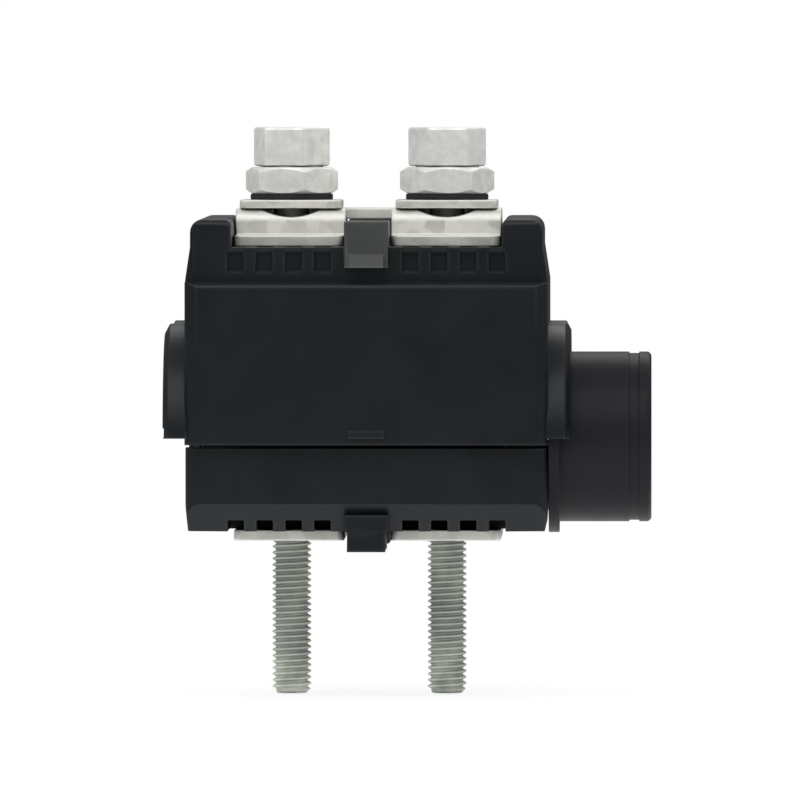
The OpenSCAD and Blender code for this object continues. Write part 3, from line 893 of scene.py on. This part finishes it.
class CONNECTOR_OT_plates(bpy.types.Operator):
    """Finish the folded pressure plate, the lower plates and the square washers"""

    bl_idname = "connector.plates"
    bl_label = "Plates and square washers"

    def execute(self, context):
        sizes = context.scene.connector_sizes
        material = galvanised_sheet(context.scene.connector_colours)
        finish_node("pressure_plate", sizes.sheet_edge, material)
        for side in SIDES:
            finish_node(f"lower_plate_{side}", sizes.sheet_edge, material)
            finish_node(f"square_washer_{side}", sizes.sheet_edge, material)
        return {"FINISHED"}


class CONNECTOR_OT_seals(bpy.types.Operator):
    """Finish the rubber washers under the heads and the blades' gaskets"""

    bl_idname = "connector.seals"
    bl_label = "Washers and gaskets"

    def execute(self, context):
        sizes = context.scene.connector_sizes
        material = seal_rubber(context.scene.connector_colours)
        for side in SIDES:
            finish_node(f"round_washer_{side}", sizes.rubber_edge, material)
            for half in HALVES:
                finish_node(f"{half}_gasket_{side}", sizes.rubber_edge, material, crowded=True)
        return {"FINISHED"}


class CONNECTOR_OT_blades(bpy.types.Operator):
    """Finish the toothed contact blades"""

    bl_idname = "connector.blades"
    bl_label = "Contact blades"

    def execute(self, context):
        sizes = context.scene.connector_sizes
        material = tinned_copper(context.scene.connector_colours)
        for half in HALVES:
            for side in SIDES:
                finish_node(f"{half}_blade_{side}", sizes.contact_edge, material, crowded=True)
        return {"FINISHED"}


class CONNECTOR_OT_bolts(bpy.types.Operator):
    """Make the shear-head bolts, with turned hexagons and a rolled thread"""

    bl_idname = "connector.bolts"
    bl_label = "Shear-head bolts"

    def execute(self, context):
        sizes = context.scene.connector_sizes
        colours = context.scene.connector_colours
        materials = [plated_head(colours), plated_thread(colours)]
        for side in SIDES:
            node = f"shear_bolt_{side}"
            low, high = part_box(node)
            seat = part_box(f"round_washer_{side}")[1].z
            mesh = bpy.data.meshes.new(node + "_finished")
            turned = {"left": sizes.left_turn, "right": sizes.right_turn}[side]
            shell = self.shape(sizes, centre_of(node), turned, low.z, seat, high.z)
            shell.to_mesh(mesh)
            shell.free()
            even_shading(place(mesh, node, f"bolt_{side}", materials))
        return {"FINISHED"}

    def shape(self, sizes, centre, turned, low, seat, high):
        """Closed shells of both hexagons, the neck between them, the shank and the thread."""
        shell = bmesh.new()
        sunk = sizes.head_edge
        stay_top = seat + sizes.stay_height
        shear_foot = stay_top + sizes.neck_height
        shear = hexagon_outline(sizes.shear_flats, sizes.corner_radius, turned)
        loft(shell, [[Vector((*(centre.xy + point), z)) for point in shear] for z in (shear_foot, high)])
        round_edges(shell, sizes.shear_edge, segments=4)
        stay = hexagon_outline(sizes.stay_flats, sizes.corner_radius, turned)
        lower = bmesh.new()
        loft(lower, hexagon_rings(centre, stay, sizes.stay_flats, seat, stay_top))
        round_edges(lower, sizes.head_edge)
        join(shell, lower)
        neck = sizes.neck_diameter / 2
        loft(shell, [circle(centre, neck, stay_top - sunk), circle(centre, neck, shear_foot + sunk)])
        shank = sizes.shank_diameter / 2
        thread_end = low + sizes.thread_length
        ends = [circle(centre, shank, thread_end), circle(centre, shank, seat + sunk)]
        loft(shell, ends, material_index=THREAD_FINISH)
        rolled = bmesh.new()
        thread(rolled, centre, sizes, low, thread_end)
        join(shell, rolled)
        return shell


class CONNECTOR_OT_nuts(bpy.types.Operator):
    """Make the nuts in the lower plates' cups"""

    bl_idname = "connector.nuts"
    bl_label = "Nuts"

    def execute(self, context):
        sizes = context.scene.connector_sizes
        material = plated_head(context.scene.connector_colours)
        for side in SIDES:
            node = f"nut_{side}"
            low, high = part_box(node)
            centre = centre_of(node)
            # Two of the flats face along the conductors
            outline = hexagon_outline(sizes.nut_flats, sizes.corner_radius, math.pi / 6)
            outer = hexagon_rings(centre, outline, sizes.nut_flats, low.z, high.z)
            shell = bmesh.new()
            loft(shell, outer + self.bore_rings(sizes, centre, outline, low.z, high.z), closed=True)
            bmesh.ops.recalc_face_normals(shell, faces=shell.faces)
            round_edges(shell, sizes.head_edge, segments=2)
            mesh = bpy.data.meshes.new(node + "_finished")
            shell.to_mesh(mesh)
            shell.free()
            even_shading(place(mesh, node, "lower_half", [material]))
        return {"FINISHED"}

    def bore_rings(self, sizes, centre, outline, low, high):
        """Rings of the bore from its upper countersink down to its lower one."""
        radius = sizes.nut_bore / 2
        sink = sizes.nut_sink
        places = ((radius + sink, high), (radius, high - sink), (radius, low + sink), (radius + sink, low))
        return [
            [Vector((*(centre.xy + point.normalized() * reach), z)) for point in outline]
            for reach, z in places
        ]


class CONNECTOR_OT_end_cap(bpy.types.Operator):
    """Finish the cap on the end of the tap channel"""

    bl_idname = "connector.end_cap"
    bl_label = "End cap"

    def execute(self, context):
        sizes = context.scene.connector_sizes
        material = smooth_cap_rubber(context.scene.connector_colours)
        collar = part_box("end_cap")[0].x + sizes.cap_collar
        finish_node("end_cap", sizes.cap_edge, material, cuts=[(ALONG, collar)])
        return {"FINISHED"}


class CONNECTOR_OT_stage(bpy.types.Operator):
    """Set the floor, the lights and the camera"""

    bl_idname = "connector.stage"
    bl_label = "Stage"

    def execute(self, context):
        scene = context.scene
        stage = scene.connector_stage
        scene.view_settings.view_transform = "Standard"
        middle = (cad_box[0] + cad_box[1]) / 2
        self.floor(scene, stage, middle)
        self.world(scene, stage)
        for name, setting, side, offset in SOFT_BOXES:
            self.soft_light(scene, name, getattr(stage, setting), side, middle, Vector(offset))
        self.camera(scene, stage)
        return {"FINISHED"}

    def floor(self, scene, stage, middle):
        """Round floor just under the bolts' tips."""
        disc = bmesh.new()
        bmesh.ops.create_circle(disc, cap_ends=True, segments=FLOOR_CORNERS, radius=FLOOR_RADIUS)
        mesh = bpy.data.meshes.new("floor")
        disc.to_mesh(mesh)
        disc.free()
        mesh.materials.append(white_floor(stage, scene.connector_colours))
        floor = bpy.data.objects.new("floor", mesh)
        floor.location = (middle.x, middle.y, cad_box[0].z - FLOOR_GAP)
        scene.collection.objects.link(floor)

    def world(self, scene, stage):
        """White behind the object, even light from all sides, and a dim room in its reflections."""
        world = bpy.data.worlds.new("studio")
        world.use_nodes = True
        tree = world.node_tree
        tree.nodes.clear()
        path = add(tree, "ShaderNodeLightPath").outputs
        # Reflections see a dim room at the object's level and a brighter ceiling above
        towards = add(tree, "ShaderNodeTexCoord").outputs["Generated"]
        mirrored = add(
            tree,
            "ShaderNodeMapRange",
            {
                "Value": add(tree, "ShaderNodeSeparateXYZ", {"Vector": towards}).outputs["Z"],
                "From Min": ROOM_TOP,
                "From Max": CEILING_FOOT,
                "To Min": stage.room,
                "To Max": stage.ceiling,
            },
            interpolation_type="SMOOTHSTEP",
        )
        glossy = add(
            tree,
            "ShaderNodeMath",
            {0: path["Is Glossy Ray"], 1: path["Is Transmission Ray"]},
            operation="MAXIMUM",
        )
        dim = add(
            tree,
            "ShaderNodeMix",
            {"Factor": glossy.outputs[0], "A": stage.ambient, "B": mirrored.outputs["Result"]},
            data_type="FLOAT",
        )
        strength = add(
            tree,
            "ShaderNodeMix",
            {"Factor": path["Is Camera Ray"], "A": dim.outputs["Result"], "B": 1.0},
            data_type="FLOAT",
        )
        sky = add(
            tree,
            "ShaderNodeBackground",
            {"Color": list(scene.connector_colours.floor), "Strength": strength.outputs["Result"]},
        )
        add(tree, "ShaderNodeOutputWorld", {"Surface": sky.outputs["Background"]})
        scene.world = world

    def soft_light(self, scene, name, power, side, target, offset):
        """Square soft box that faces the object."""
        lamp = bpy.data.lights.new(name, "AREA")
        lamp.energy = power
        lamp.size = side
        box = bpy.data.objects.new(name, lamp)
        box.location = target + offset
        box.rotation_mode = "QUATERNION"
        box.rotation_quaternion = (-offset).to_track_quat("-Z", "Y")
        scene.collection.objects.link(box)

    def camera(self, scene, stage):
        """Camera at the photograph's angle, with its frame at the depth of the bolts."""
        data = bpy.data.cameras.new("photo_camera")
        data.lens = stage.camera_lens
        data.sensor_width = SENSOR_WIDTH
        half = PHOTO_SIDE / 2
        aim = Vector((
            (half - PHOTO_ORIGIN[0]) * PHOTO_SCALE,
            centre_of("shear_bolt_left").y,
            (PHOTO_ORIGIN[1] - half) * PHOTO_SCALE,
        ))
        distance = PHOTO_SIDE * PHOTO_SCALE * data.lens / data.sensor_width
        level = math.cos(stage.camera_height)
        back = Vector((
            math.sin(stage.camera_turn) * level,
            -math.cos(stage.camera_turn) * level,
            math.sin(stage.camera_height),
        ))
        camera = bpy.data.objects.new("photo_camera", data)
        camera.location = aim + back * distance
        camera.rotation_mode = "QUATERNION"
        camera.rotation_quaternion = (-back).to_track_quat("-Z", "Y")
        # The view reaches well past the object
        data.clip_end = 4 * distance
        scene.collection.objects.link(camera)
        scene.camera = camera


class CONNECTOR_PT_sidebar(bpy.types.Panel):
    """Sizes, colours and steps of the connector"""

    bl_idname = "CONNECTOR_PT_sidebar"
    bl_label = "Connector"
    bl_space_type = "VIEW_3D"
    bl_region_type = "UI"
    bl_category = "Connector"

    def draw(self, context):
        scene = context.scene
        for operator in OPERATORS:
            self.layout.operator(operator.bl_idname)
        for group in (scene.connector_sizes, scene.connector_colours, scene.connector_stage):
            box = self.layout.box()
            for name in group.bl_rna.properties.keys():
                if name not in ("rna_type", "name"):
                    box.prop(group, name)


GROUPS = {
    "connector_sizes": ConnectorSizes,
    "connector_colours": ConnectorColours,
    "connector_stage": ConnectorStage,
}
OPERATORS = (
    CONNECTOR_OT_housings,
    CONNECTOR_OT_plates,
    CONNECTOR_OT_seals,
    CONNECTOR_OT_blades,
    CONNECTOR_OT_bolts,
    CONNECTOR_OT_nuts,
    CONNECTOR_OT_end_cap,
    CONNECTOR_OT_stage,
)
CLASSES = (*GROUPS.values(), *OPERATORS, CONNECTOR_PT_sidebar)


def register():
    """Register the classes and put the settings on the scene."""
    for kind in CLASSES:
        bpy.utils.register_class(kind)
    for name, group in GROUPS.items():
        setattr(bpy.types.Scene, name, bpy.props.PointerProperty(type=group))


def unregister():
    """Take the settings off the scene and unregister the classes."""
    for name in GROUPS:
        delattr(bpy.types.Scene, name)
    for kind in reversed(CLASSES):
        bpy.utils.unregister_class(kind)


def main():
    """Make every piece and the stage."""
    register()
    bpy.ops.connector.stage()
    bpy.ops.connector.housings()
    bpy.ops.connector.plates()
    bpy.ops.connector.seals()
    bpy.ops.connector.blades()
    bpy.ops.connector.bolts()
    bpy.ops.connector.nuts()
    bpy.ops.connector.end_cap()


if __name__ == "__main__":
    main()
